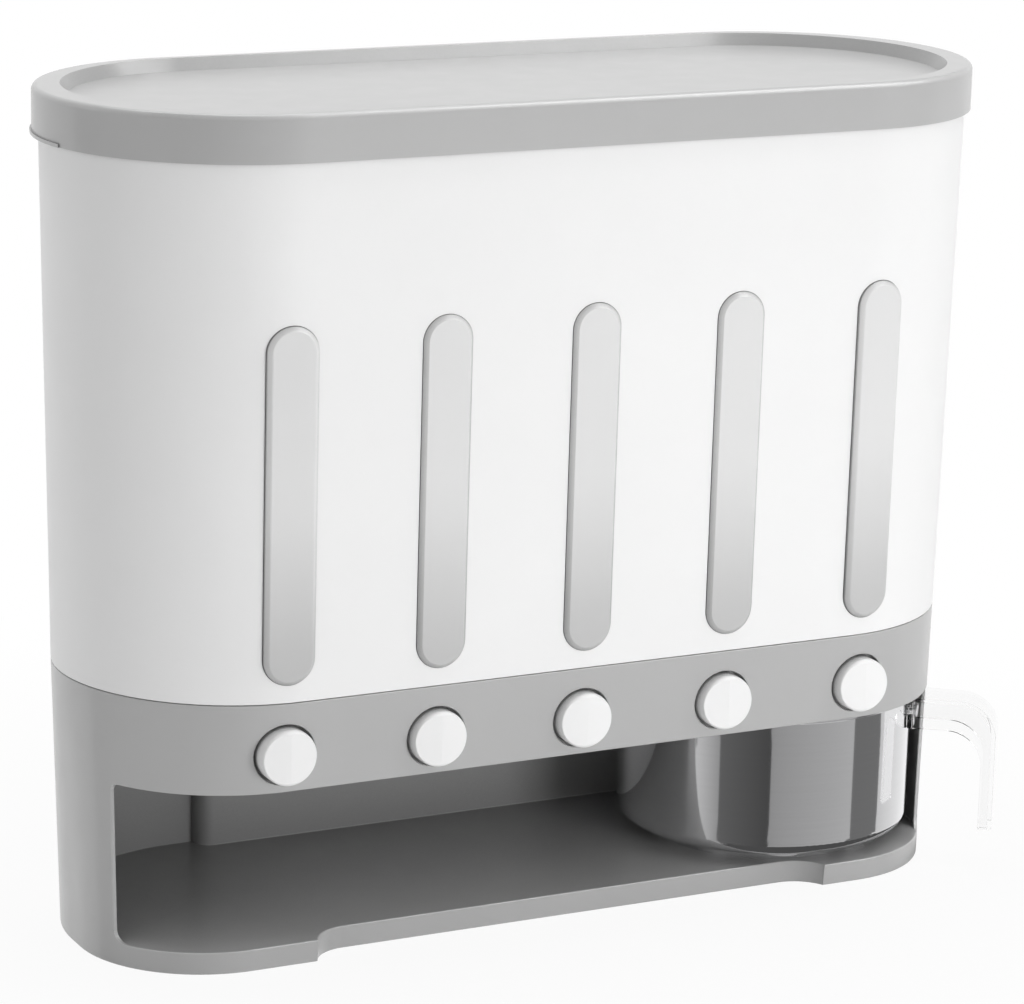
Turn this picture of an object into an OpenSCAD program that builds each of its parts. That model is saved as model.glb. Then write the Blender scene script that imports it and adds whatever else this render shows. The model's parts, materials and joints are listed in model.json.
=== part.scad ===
// Dry food dispenser: five hopper compartments over a push-button base with a cup bay.
// The front faces -Y, +X is to the right, and the origin is the middle of the underside.

/* [Overall] */
// Length of the lid, end to end
overall_l = 390; // [370:1:430]
// Depth of the lid, front to back
overall_d = 152; // [148:1:164]
// Height from the underside to the top of the lid
overall_h = 332; // [300:1:380]
// Distance between neighbouring compartments
pitch = 62.6; // [60:0.1:66]

/* [Lid] */
// Height of the lid down to the skirt's lower edge
lid_h = 18.2; // [14:0.1:26]
// Wall of the skirt
lid_wall = 1.8; // [1.4:0.1:2.6]
// Thickness of the lid's top
lid_plate = 2.4; // [1.8:0.1:3]
// Rounding of the lid's upper edge
lid_edge_r = 2.4; // [1:0.1:2.6]
// Width of the rim in front of and behind the sunk top
rim_w = 5.5; // [5:0.1:9]
// Width of the rim at the two ends
rim_end_w = 11; // [8:0.5:18]
// Depth of the sunk top
recess_depth = 4.8; // [3:0.1:6]
// Width of the slope round the sunk top
recess_slope = 2.6; // [1:0.1:4]
// Depth of the plug rib that enters the hopper
plug_h = 7; // [4:0.5:9]
// Thickness of the plug rib
plug_t = 1.8; // [1.2:0.1:3]
// Running gap between the lid and the hopper
lid_gap = 0.4; // [0.3:0.05:0.6]
// Thickness of the seal ring
seal_t = 2.6; // [1.8:0.1:3.4]
// Reach of the lift tab past the skirt
tab_reach = 0.7; // [0.5:0.1:3]
// Thickness of the lift tab
tab_t = 1.3; // [1:0.1:3]
// Angle that the lift tab covers along the left end
tab_span = 60; // [16:1:80]
// Turn of the tab's middle from the left end towards the back, in degrees
tab_turn = 20; // [0:1:30]

/* [Hopper] */
// Wall of the hopper
shell_wall = 2.4; // [2:0.1:3]
// Draft of the hopper's wall, in degrees
shell_draft = 1; // [0.6:0.05:1.2]
// Height of the shadow gap between the hopper and the base
seam_gap = 0.4; // [0.3:0.05:1]
// Depth of the shadow gap
seam_depth = 0.8; // [0.5:0.1:1.2]

/* [Windows] */
// Width of a window
window_w = 20.4; // [14:0.2:26]
// Height of a window's lower end above the seam
window_rise = 7.3; // [5:0.1:30]
// Length of a window
window_l = 137.5; // [90:0.5:165]
// How far a window stands proud of the hopper
window_proud = 2; // [1:0.1:3]
// Bevel round a window's face
window_bevel = 1.7; // [0.6:0.1:1.9]
// Thickness of a window's skin
window_skin = 1.8; // [1.2:0.1:2.2]
// Width of the flange behind the hopper's wall
window_flange = 2.2; // [1.5:0.1:4]
// Thickness of that flange
window_flange_t = 1.2; // [0.8:0.1:2]
// Gap between a window and its slot
window_gap = 0.15; // [0.1:0.05:0.3]

/* [Dividers] */
// Thickness of a divider
divider_t = 2; // [1.4:0.1:3]
// Gap between a divider and what guides it
divider_gap = 0.3; // [0.2:0.05:0.5]
// Width of a guide rib
rib_w = 1.5; // [1:0.1:2.5]
// Height of a guide rib above the hopper's wall
rib_h = 4; // [2.5:0.1:6]
// Drop from the hopper's upper edge to the dividers
divider_drop = 11; // [10.5:0.5:30]

/* [Hanging slots] */
// Distance from the middle to each keyhole
hang_x = 109; // [106:0.5:112]
// Drop from the hopper's upper edge to a keyhole's round end
hang_drop = 55; // [40:1:85]
// Radius of a keyhole's round end
hang_r = 5.5; // [4.5:0.1:6.5]
// Radius of a keyhole's narrow end
hang_slot_r = 2.6; // [2:0.1:3]
// Rise from the round end to the narrow end
hang_rise = 11; // [9:0.5:14]
// Depth of the pocket behind a keyhole
hang_pocket = 6; // [5:0.5:9]

/* [Base] */
// Height of the seam between base and hopper
base_h = 108.6; // [106:0.2:113]
// Wall of the base
base_wall = 1.6; // [1.5:0.1:2.3]
// How far the front draws in at the foot
base_front_draw = 11.4; // [8:0.2:14]
// How far the two ends draw in at the foot
base_end_draw = 4; // [1:0.2:8]
// How much tighter the foot's front corners are than the seam's
foot_front_turn = 19.5; // [14:0.5:30]
// How much tighter the foot's rear corners are than the seam's
foot_back_turn = 2; // [1:0.5:10]
// Depth of the panel that is set in at the back
panel_depth = 7.8; // [5:0.1:8]
// Half the width of that panel
panel_half = 106; // [90:0.5:106]
// Corner radius of that panel
panel_r = 5; // [3:0.5:8]

/* [Bay] */
// Height of the tray floor and its lip
floor_z = 9; // [7:0.2:12]
// Thickness of the tray floor between its ribs
floor_skin = 2.5; // [2:0.1:4]
// Thickness of the ribs under the tray
floor_rib = 2; // [1.5:0.1:3]
// Height of the band between the bay and the seam
band_h = 35.8; // [35.6:0.1:38]
// Distance in front of the middle where the end walls stop
bay_cut = 30.4; // [24:0.1:33]
// Corner radius at the top of the bay's ends
bay_top_r = 3; // [1.5:0.1:6]
// Corner radius at the foot of the bay's ends
bay_foot_r = 5; // [2:0.1:8]
// How far the middle of the lip is set back
notch_depth = 10; // [6:0.2:12]
// Half the width of the set-back stretch, at the lip's face
notch_half = 112.6; // [100:0.2:116]
// Length of the curve at each end of the set-back stretch
notch_run = 15; // [12:0.5:24]
// How far the set-back stretch sits to the right of the middle
notch_shift = 5.5; // [0:0.5:6]

/* [Buttons] */
// Drop from the seam to the buttons' middle
button_drop = 20.6; // [20.4:0.1:21.6]
// Radius of a button
button_r = 11; // [10:0.1:11.2]
// Gap between a button and its hole
button_gap = 1.2; // [0.6:0.05:1.4]
// How far a button stands proud
button_proud = 5.6; // [3:0.1:6]
// Rounding of a button's edge
button_edge = 2; // [1:0.1:2.6]
// Slope of the two halves of a button's face, in degrees
button_roof = 5; // [0:0.5:6]
// Wall of a button
button_wall = 1.8; // [1.4:0.1:2.4]
// How far the stop flange stands out from a button
button_stop = 2.4; // [2:0.1:2.5]
// Radius of the stem that joins gate and button
stem_r = 4; // [3:0.1:5]

/* [Funnels and gates] */
// Drop from the seam to the underside of the funnels' outlets
deck_drop = 10.6; // [9.6:0.1:11.1]
// Thickness of the funnel deck
deck_t = 2.2; // [1.8:0.1:2.6]
// Rise from the outlets to the ridges between them
funnel_rise = 18; // [14:0.5:20]
// Width of an outlet
outlet_w = 26; // [18:0.5:28]
// Depth of an outlet, front to back
outlet_d = 9; // [7:0.2:10]
// Lap of a closed gate past its outlet
gate_lap = 2; // [1:0.1:3]
// Thickness of a gate
gate_t = 2.4; // [1.8:0.1:3]
// Margin of a gate beside its slot
gate_margin = 4; // [3:0.1:5]
// Gap between a gate and its rails
gate_gap = 0.4; // [0.3:0.05:0.6]
// Thickness of rails, shelves and webs
rail_t = 2; // [1.6:0.1:2.6]
// Thickness of the bay's ceiling
chute_t = 2.5; // [2:0.1:3]
// Height of the ceiling above the bay's upper edge
chute_rise = 3.2; // [2.8:0.1:4]

/* [Springs] */
// Radius of a spring at the middle of its wire
spring_r = 4; // [3.6:0.1:5]
// Thickness of the wire
wire_d = 0.9; // [0.6:0.1:1.2]
// Number of curls
curls = 7; // [5:1:8]
// Length of a spring at rest
spring_l = 30; // [27:0.5:32]

/* [Cup] */
// Distance of the cup's middle past the round end's middle
cup_shift = 2; // [0:0.2:2.4]
// How much smaller the cup's radius is than the seam's round ends
cup_inset = 9.4; // [9.2:0.1:16]
// How much wider the cup is at its rim
cup_flare = 0.5; // [0.2:0.1:0.6]
// Wall of the cup
cup_wall = 1; // [0.7:0.1:1.4]
// Rounding of the cup's lower edge
cup_edge_r = 5.5; // [3:0.5:9]
// Width of the step from the cup's wall to its foot
cup_step = 13.6; // [9:0.2:20]
// Height of the cup's stepped foot
cup_foot_h = 5; // [3:0.2:7]
// Gap between the cup's rim and the bay's upper edge
cup_top_gap = 1; // [0.6:0.1:3]
// Radius of the rolled rim
cup_bead_r = 0.9; // [0.8:0.1:1.2]

/* [Handle] */
// Direction of the handle, in degrees to the front of +X
handle_angle = 37; // [36:1:50]
// Reach of the handle past the cup's wall
handle_reach = 36; // [32:0.5:40]
// Width of the handle
handle_w = 17.5; // [16:0.5:17.5]
// Gap between the handle's top and the bay's upper edge
handle_drop = 2.3; // [1.5:0.1:6]
// Height of the handle's arm
arm_h = 13; // [10:0.5:15]
// Thickness of the handle's leg
leg_t = 5.7; // [4.6:0.1:7]
// Height of the leg's lower end
leg_z = 16; // [8:0.5:24]
// Outer radius of the handle's bend
bend_r = 15.5; // [12:0.5:18]
// Inner radius of the handle's bend
bend_in_r = 14.5; // [10:0.5:16]
// Wall of the handle's channel
handle_wall = 1.8; // [1.4:0.1:2.2]
// Thickness of the saddle against the cup
saddle_t = 2; // [1.6:0.1:2.6]

/* [Fasteners] */
// Radius of a screw's shank
screw_r = 1.45; // [1.2:0.05:1.6]
// Radius of a screw's head
screw_head_r = 3.2; // [2.6:0.1:3.6]
// Height of a screw's head
screw_head_h = 1.8; // [1.4:0.1:2]
// Gap round a shank in its hole
screw_gap = 0.05; // [0.02:0.01:0.08]
// Radius of the posts and bosses that take the screws
post_r = 4; // [3.4:0.1:5]
// Radius of a rivet's shank
rivet_r = 1.5; // [1.2:0.1:1.8]
// Radius of a rivet's head
rivet_head_r = 2.6; // [2.2:0.1:2.8]

/* [Hidden] */
$fn = 96;

compartments = 5;
numbers = [1 : compartments];
walls = [1 : compartments - 1];
sides = [-1, 1];
// Spare length of a cutting tool past the face that it cuts
over = 1;
// Depth by which joined solids run into each other
bite = 0.5;
// Flat faces of one body sit this far apart
seat = 0.1;

grey = [0.62, 0.62, 0.62];
white = [0.95, 0.95, 0.95];
frosted = [0.80, 0.80, 0.80, 0.85];
milky = [0.90, 0.90, 0.88];
steel = [0.78, 0.78, 0.80];
clear = [0.93, 0.95, 0.96, 0.45];

// Plan of the lid and hopper: a stadium with round ends about x = -arc_x and x = arc_x
lid_r = overall_d / 2;
arc_x = overall_l / 2 - lid_r;
skirt_z = overall_h - lid_h;
channel_z = overall_h - lid_plate;
recess_z = overall_h - recess_depth;
ceiling_z = recess_z - lid_plate;
plug_z = ceiling_z - plug_h;
recess_r = lid_r - rim_w;
recess_x = overall_l / 2 - rim_end_w - recess_r;
skirt_r = lid_r - lid_wall;

shell_top = channel_z - seal_t;
shell_foot = base_h + seam_gap;
shell_rim_r = skirt_r - lid_gap;
hang_z = shell_top - hang_drop;
function shell_r(z) = shell_rim_r - (shell_top - z) * tan(shell_draft);
function shell_in(z) = shell_r(z) - shell_wall;
plug_r = shell_in(plug_z) - lid_gap;
seam_r = shell_r(base_h);

function button_x(i) = (i - (compartments + 1) / 2) * pitch;
function wall_x(i) = (i - compartments / 2) * pitch;

window_r = window_w / 2;
window_foot = base_h + window_rise;
window_mid = window_foot + window_l / 2;
window_run = window_l / 2 - window_r;
window_half = window_r + window_flange;
// Turn that lays a piece at x against the round end, and how far the wall falls away behind its edge
function end_turn(x, z) = abs(x) > arc_x ? sign(x) * asin((abs(x) - arc_x) / shell_r(z)) : 0;
function end_fall(x) =
  let (past = max(0, min(window_half, abs(x) + window_half - arc_x)))
    past * past / (2 * shell_in(window_foot));

// Plan of the base at height z, moved in by inset: [half width, front, back, front radius, rear radius]
function blend(foot, seam, z) = foot + (seam - foot) * z / base_h;
foot_front_r = seam_r - foot_front_turn;
foot_back_r = seam_r - foot_back_turn;
function base_front(z) = blend(seam_r - base_front_draw, seam_r, z);
function base_end(z) = blend(arc_x + seam_r - base_end_draw, arc_x + seam_r, z);
function base_fall(x, z) =
  let (
    r = blend(foot_front_r, seam_r, z),
    past = max(0, x - base_end(z) + r)
  )
    r - sqrt(r * r - past * past);
function base_plan(z, inset) = [
  base_end(z) - inset,
  base_front(z) - inset,
  seam_r - inset,
  blend(foot_front_r, seam_r, z) - inset,
  blend(foot_back_r, seam_r, z) - inset
];
slab = 0.01;
corner_steps = 24;

panel_y = seam_r - panel_depth;
panel_wall_y = panel_y - base_wall;
bay_top = base_h - band_h;
chute_z = bay_top + chute_rise;
chute_top = chute_z + chute_t;
panel_top = chute_z - seat - base_wall;
notch_y = base_front_draw + notch_depth - seam_r;
notch_r = (notch_run * notch_run + notch_depth * notch_depth) / (2 * notch_depth);

// Funnel deck
deck_z = base_h - deck_drop;
ring_drop = 3;
ring_draw = base_front_draw * ring_drop / base_h;
deck_gap = 0.2;
deck_r = seam_r - max(shell_wall, base_wall + ring_draw) - deck_gap;
deck_rim_t = 2;
ridge_z = deck_z + funnel_rise;
ring_top = ridge_z + deck_t + over;
funnel_spare = 4;
funnel_reach = deck_r + funnel_spare;
outlet_rim = 1.5;
post_y = 30;
boss_inset = 11.4;
boss_r = deck_r - boss_inset;
boss_angle = 45;
lug_t = 2.5;
lug_half = post_r + over;
lug_z = deck_z;
pilot_r = screw_r + screw_gap;
pass_gap = 0.35;
pass_r = screw_r + pass_gap;
// Length of thread in the deck
deck_thread = 5;
chute_thread = 12;
// Room round an outlet in the chute below it
chute_side = 1;
chute_front = 2.5;

// Gates, buttons and springs
travel = outlet_d + gate_lap;
gate_top = deck_z - gate_gap;
gate_foot = gate_top - gate_t;
gate_w = outlet_w + 2 * gate_margin;
gate_rear = 12;
web_t = 2.4;
web_half = 8;
web_drop = 7;
peg_gap = 0.8;
peg_r = spring_r - wire_d / 2 - peg_gap;
peg_l = 5;
spring_seat = gate_rear + spring_l;
shelf_in = 2.5;
shelf_top = gate_foot - gate_gap;
rail_inset = 8;
rail_rear = 28;
guide_in = gate_w / 2 + gate_gap;
tenon_y = 10;
tenon_l = 8;
button_z = base_h - button_drop;
button_face = -base_front(button_z) - button_proud;
stop_r = button_r + button_stop;
stop_fall = base_fall(button_x(compartments) + stop_r, button_z);
stop_y = stop_fall + base_wall + gate_gap - base_front(button_z - stop_r);
stop_t = 1.6;
boss_l = 8;
boss_wall = 2;
boss_back = stop_y + boss_l;
web_front = boss_back + boss_wall;
rail_front = web_front + rail_inset;
button_skin = button_wall + button_r * sin(button_roof);
notch_gap = 1;

// Cup and handle
cup_r = seam_r - cup_inset;
cup_foot_r = cup_r - cup_step;
cup_x = arc_x + cup_shift;
cup_y = -1;
cup_foot_z = floor_z;
cup_edge_z = cup_foot_z + cup_foot_h;
cup_top = bay_top - cup_top_gap;
cup_rim_r = cup_r + cup_flare;
function cup_out(z) = cup_r + cup_flare * (z - cup_edge_z) / (cup_top - cup_edge_z);
handle_top = bay_top - handle_drop;
arm_z = handle_top - arm_h;
handle_out = cup_rim_r + handle_reach;
saddle_span = 2 * asin(handle_w / 2 / cup_r);
rivet_z = arm_z + arm_h / 2;
rivet_clear = 0.5;
rivet_reach = handle_w / 2 - handle_wall - rivet_head_r - rivet_clear;
rivet_turn = asin(rivet_reach / (cup_rim_r + saddle_t));
rivet_head_t = 1;

// A profile of radius against height, carried round a stadium whose ends turn about x = -a and x = a
module round_stadium(a) {
  for (s = sides)
    translate([s * a, 0, 0])
      rotate(-90 * s)
        rotate_extrude(angle = 180)
          children();
  for (turn = [0, 180])
    rotate(turn)
      translate([-a, 0, 0])
        rotate([90, 0, 90])
          linear_extrude(2 * a)
            children();
}

// A rectangle from one corner to the opposite one
module span(x0, y0, x1, y1) {
  translate([x0, y0])
    square([x1 - x0, y1 - y0]);
}

// A box from one corner to the opposite one
module block(low, high) {
  translate(low)
    cube(high - low);
}

// A rectangle whose far upper corner is rounded
module corner_span(x0, y0, x1, y1, r) {
  span(x0, y0, x1 - r, y1);
  span(x0, y0, x1, y1 - r);
  translate([x1 - r, y1 - r])
    circle(r);
}

// An outline in Y and Z, carried along X on both sides of the middle
module along_x(half) {
  translate([-half, 0, 0])
    rotate([90, 0, 90])
      linear_extrude(2 * half)
        children();
}

// A round bar along Y between two depths
module bar_y(r, y0, y1) {
  translate([0, y0, 0])
    rotate([-90, 0, 0])
      cylinder(h = y1 - y0, r = r);
}

// An upright slot with round ends, carried along Y between two depths
module slot_y(r, run, y0, y1) {
  translate([0, y1, 0])
    rotate([90, 0, 0])
      linear_extrude(y1 - y0) {
        span(-r, -run, r, run);
        for (s = sides)
          translate([0, s * run])
            circle(r);
      }
}

// The same slot with a bevel, from radius r0 at y0 to radius r1 at y1
module slot_bevel(r0, r1, run, y0, y1) {
  for (s = sides)
    translate([0, y0, s * run])
      rotate([-90, 0, 0])
        cylinder(h = y1 - y0, r1 = r0, r2 = r1);
  translate([0, 0, -run])
    linear_extrude(2 * run)
      polygon([[-r0, y0], [r0, y0], [r1, y1], [-r1, y1]]);
}

// Moves a piece onto the hopper's front wall: its +Y then runs into the wall
module on_front(x, z) {
  turn = end_turn(x, z);
  translate([x - shell_r(z) * sin(turn), 0, z])
    rotate(turn)
      translate([0, -shell_r(z), 0])
        rotate([shell_draft, 0, 0])
          children();
}

// A quarter of a circle about x, y that starts at an angle
function quarter(x, y, r, start) =
  [for (k = [0 : corner_steps])
    let (a = start + 90 * k / corner_steps)
      [x + r * cos(a), y + r * sin(a)]];

// Outline of the base at height z
module base_outline(z, inset) {
  p = base_plan(z, inset);
  front_x = p[0] - p[3];
  front_y = p[3] - p[1];
  rear_x = p[0] - p[4];
  rear_y = p[2] - p[4];
  polygon(concat(
    quarter(front_x, front_y, p[3], -90),
    quarter(rear_x, rear_y, p[4], 0),
    quarter(-rear_x, rear_y, p[4], 90),
    quarter(-front_x, front_y, p[3], 180)
  ));
}

// Solid of the base between two heights, moved in by inset
module base_loft(z0, z1, inset) {
  hull() {
    translate([0, 0, z0])
      linear_extrude(slab)
        base_outline(z0, inset);
    translate([0, 0, z1 - slab])
      linear_extrude(slab)
        base_outline(z1, inset);
  }
}

// Lid
module lid_skirt() {
  corner_span(0, skirt_z, lid_r, overall_h, lid_edge_r);
}

module lid_hollow() {
  span(plug_r, skirt_z - over, skirt_r, channel_z);
  span(0, skirt_z - over, plug_r + bite, plug_z);
  span(0, skirt_z - over, plug_r - plug_t, ceiling_z);
}

module lid_recess() {
  slope = recess_slope / recess_depth * over;
  polygon([
    [0, recess_z],
    [recess_r - recess_slope, recess_z],
    [recess_r + slope, overall_h + over],
    [0, overall_h + over]
  ]);
}

module lid_tab() {
  translate([-arc_x, 0, 0])
    rotate(180 - tab_turn - tab_span / 2)
      rotate_extrude(angle = tab_span)
        span(lid_r - lid_wall / 2, skirt_z, lid_r + tab_reach, skirt_z + tab_t);
}

module lid() {
  color(grey)
    difference() {
      union() {
        round_stadium(arc_x)
          lid_skirt();
        lid_tab();
      }
      round_stadium(arc_x)
        lid_hollow();
      round_stadium(recess_x)
        lid_recess();
    }
}

module lid_seal() {
  color(milky)
    round_stadium(arc_x)
      span(plug_r + lid_gap, shell_top, skirt_r - lid_gap, channel_z);
}

// Hopper
module guide_rib(x) {
  z0 = ring_top + over;
  z1 = shell_top - divider_drop;
  translate([x, 0, 0])
    along_x(rib_w / 2)
      polygon([
        [shell_in(z0) - rib_h, z0],
        [shell_in(z0) + bite, z0],
        [shell_in(z1) + bite, z1],
        [shell_in(z1) - rib_h, z1]
      ]);
}

module guide_ribs() {
  reach = divider_t / 2 + divider_gap + rib_w / 2;
  for (i = walls, s = sides, turn = [0, 180])
    rotate(turn)
      guide_rib(wall_x(i) + s * reach);
}

// Pocket behind a keyhole, whose wall is grown by t
module hang_box(t) {
  half = hang_r + over + t;
  y = shell_in(hang_z);
  low = hang_z - hang_r - over - t;
  high = hang_z + hang_rise + hang_r + t;
  block([-half, y - hang_pocket - t, low], [half, y + (t > 0 ? bite : 0), high]);
}

module keyhole() {
  y = shell_in(hang_z);
  translate([0, 0, hang_z])
    bar_y(hang_r, y - over, y + 2 * shell_wall);
  translate([0, 0, hang_z + hang_rise / 2])
    slot_y(hang_slot_r, hang_rise / 2, y - over, y + 2 * shell_wall);
}

module hopper_shell() {
  color(white)
    difference() {
      union() {
        round_stadium(arc_x)
          polygon([
            [shell_in(shell_foot), shell_foot],
            [shell_r(shell_foot), shell_foot],
            [shell_rim_r, shell_top],
            [shell_in(shell_top), shell_top]
          ]);
        guide_ribs();
        for (s = sides)
          translate([s * hang_x, 0, 0])
            hang_box(shell_wall);
      }
      for (i = numbers)
        on_front(button_x(i), window_mid)
          slot_y(window_r + window_gap, window_run, -over, shell_wall + window_proud + over);
      for (s = sides)
        translate([s * hang_x, 0, 0]) {
          hang_box(0);
          keyhole();
        }
    }
}

// Behind the wall, a window has a flange above the deck's ring and stops inside its slot beside the ring
module window(i) {
  back = shell_wall + 2 * seat + end_fall(button_x(i));
  edge = window_bevel - window_proud;
  face_r = window_r - window_bevel;
  rear = back + window_flange_t + over;
  ring_clear = ring_top + deck_gap - window_mid;
  color(frosted)
    on_front(button_x(i), window_mid)
      difference() {
        union() {
          slot_bevel(face_r, window_r, window_run, -window_proud, edge);
          slot_y(window_r, window_run, edge, back + window_flange_t);
          slot_y(window_half, window_run, back, back + window_flange_t);
        }
        slot_y(face_r, window_run, window_skin - window_proud, rear);
        block([-window_w, shell_wall - seat, -window_l], [window_w, rear, ring_clear]);
      }
}

module divider(i) {
  z0 = ridge_z + deck_t + seat;
  z1 = shell_top - divider_drop;
  foot_y = deck_r - deck_rim_t - divider_gap;
  step_z = ring_top + divider_gap;
  step_y = shell_in(step_z) - divider_gap;
  top_y = shell_in(z1) - divider_gap;
  right = [[foot_y, z0], [foot_y, step_z], [step_y, step_z], [top_y, z1]];
  left = [for (k = [3 : -1 : 0]) [-right[k][0], right[k][1]]];
  color(white)
    translate([wall_x(i), 0, 0])
      along_x(divider_t / 2)
        polygon(concat(right, left));
}

// Funnel deck: each funnel runs a bite past the ridges beside it
module funnel(i) {
  low = i == 1 ? -arc_x - funnel_reach : wall_x(i - 1);
  high = i == compartments ? arc_x + funnel_reach : wall_x(i);
  mouth = outlet_w / 2 + outlet_rim;
  throat = outlet_d / 2 + outlet_rim;
  climb = bite * funnel_rise / (pitch / 2 - mouth);
  intersection() {
    along_x(arc_x + funnel_reach)
      polygon([
        [-throat, deck_z], [throat, deck_z], [funnel_reach, ridge_z],
        [funnel_reach, ring_top], [-funnel_reach, ring_top], [-funnel_reach, ridge_z]
      ]);
    translate([0, funnel_reach, 0])
      rotate([90, 0, 0])
        linear_extrude(2 * funnel_reach)
          polygon([
            [button_x(i) - mouth, deck_z], [button_x(i) + mouth, deck_z],
            [high + bite, ridge_z + climb], [high + bite, ring_top],
            [low - bite, ring_top], [low - bite, ridge_z + climb]
          ]);
  }
}

module funnels() {
  for (i = numbers)
    funnel(i);
}

// Calls its children at each post, under the ridges and beside the end funnels
module at_posts() {
  for (i = [0 : compartments], s = sides)
    translate([wall_x(i), s * post_y, 0])
      children();
}

// Calls its children at each lug of the base, turned so that +X points at the wall
module at_lugs() {
  for (s = sides, turn = [-boss_angle, boss_angle])
    translate([s * arc_x, 0, 0])
      rotate(s > 0 ? turn : 180 + turn)
        translate([boss_r, 0, 0])
          children();
}

module funnel_deck() {
  color(white)
    difference() {
      union() {
        intersection() {
          funnels();
          round_stadium(arc_x)
            span(0, deck_z, deck_r, ring_top);
        }
        round_stadium(arc_x)
          span(deck_r - deck_rim_t, base_h - ring_drop, deck_r, ring_top);
        round_stadium(arc_x)
          span(deck_r - bite, base_h, seam_r - seam_depth, shell_foot);
        at_posts()
          translate([0, 0, chute_top])
            cylinder(h = ring_top - chute_top, r = post_r);
        at_lugs()
          translate([0, 0, lug_z + lug_t])
            cylinder(h = ring_top - lug_z - lug_t, r = post_r);
      }
      intersection() {
        translate([0, 0, deck_t])
          funnels();
        round_stadium(arc_x)
          span(0, deck_z, deck_r - deck_rim_t, ring_top + over);
      }
      for (i = numbers)
        translate([button_x(i), 0, deck_z])
          cube([outlet_w, outlet_d, 3 * deck_t], center = true);
      at_posts()
        translate([0, 0, chute_top - over])
          cylinder(h = chute_thread + 3 * over, r = pilot_r);
      at_lugs()
        translate([0, 0, lug_z + lug_t - over])
          cylinder(h = deck_thread + 2 * over, r = pilot_r);
    }
}

// Base
module bay_cutter() {
  far = overall_d;
  translate([-overall_l, 0, 0])
    rotate([90, 0, 90])
      linear_extrude(2 * overall_l) {
        span(-far, floor_z + bay_foot_r, -bay_cut, bay_top - bay_top_r);
        span(-far, floor_z, -bay_cut - bay_foot_r, bay_top);
        span(-far, floor_z + bay_foot_r, -bay_cut - bay_top_r, bay_top);
        translate([-bay_cut - bay_foot_r, floor_z + bay_foot_r])
          circle(bay_foot_r);
        translate([-bay_cut - bay_top_r, bay_top - bay_top_r])
          circle(bay_top_r);
      }
}

module notch_cutter() {
  bend_x = notch_half - notch_run;
  translate([notch_shift, 0, -over])
    linear_extrude(floor_z + 2 * over)
      for (turn = [0, 1])
        mirror([turn, 0]) {
          span(-over, -overall_d, bend_x, notch_y);
          intersection() {
            translate([bend_x, notch_y - notch_r])
              circle(notch_r);
            span(bend_x - over, notch_y - notch_depth, notch_half, notch_y);
          }
          span(bend_x - over, -overall_d, notch_half, notch_y - notch_depth);
        }
}

// Rear panel that is set in, grown by t
module panel_cutter(t) {
  half = panel_half + t;
  y = panel_y - t;
  r = panel_r + t;
  translate([0, 0, -over])
    linear_extrude(panel_top + t + over) {
      span(-half + r, y, half - r, overall_d);
      span(-half, y + r, half, overall_d);
      for (s = sides)
        translate([s * (half - r), y + r])
          circle(r);
    }
}

module floor_pockets() {
  depth = floor_z - floor_skin;
  front = notch_y + 2 * floor_rib;
  back = panel_wall_y - floor_rib;
  wide = pitch - floor_rib;
  end_wide = 42;
  end_front = -28;
  end_back = 36;
  for (i = walls) {
    x = wall_x(i);
    block([x - wide / 2, front, -over], [x + wide / 2, -floor_rib / 2, depth]);
    block([x - wide / 2, floor_rib / 2, -over], [x + wide / 2, back, depth]);
  }
  for (s = sides) {
    x = s * (2 * pitch + floor_rib / 2 + end_wide / 2);
    block([x - end_wide / 2, end_front, -over], [x + end_wide / 2, -floor_rib / 2, depth]);
    block([x - end_wide / 2, floor_rib / 2, -over], [x + end_wide / 2, end_back, depth]);
  }
}

module base_lugs() {
  intersection() {
    at_lugs()
      translate([0, 0, lug_z]) {
        cylinder(h = lug_t, r = lug_half);
        translate([0, -lug_half, 0])
          cube([seam_r - boss_r, 2 * lug_half, lug_t]);
      }
    base_loft(floor_z, base_h, base_wall / 2);
  }
}

module base_housing() {
  color(grey)
    difference() {
      union() {
        difference() {
          base_loft(0, base_h, 0);
          difference() {
            base_loft(floor_z, base_h + over, base_wall);
            panel_cutter(base_wall);
          }
        }
        base_lugs();
      }
      panel_cutter(0);
      bay_cutter();
      notch_cutter();
      floor_pockets();
      for (i = numbers)
        translate([button_x(i), 0, button_z])
          bar_y(button_r + button_gap, -overall_d, stop_y + over);
      at_lugs()
        translate([0, 0, lug_z - over])
          cylinder(h = lug_t + 2 * over, r = pass_r);
    }
}

// Chute plates
module chute(grow, z0, z1) {
  half_w = outlet_w / 2 + chute_side + grow;
  half_d = outlet_d / 2 + chute_front + grow;
  block([-half_w, -half_d, z0], [half_w, half_d, z1]);
}

// Slots in the ceiling for the tenons under a guide's rails, or the tenons themselves, grown by t
module tenons(t, z0, z1) {
  for (turn = [0, 1])
    mirror([turn, 0, 0])
      block([guide_in - t, tenon_y - t, z0], [guide_in + rail_t + t, tenon_y + tenon_l + t, z1]);
}

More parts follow.
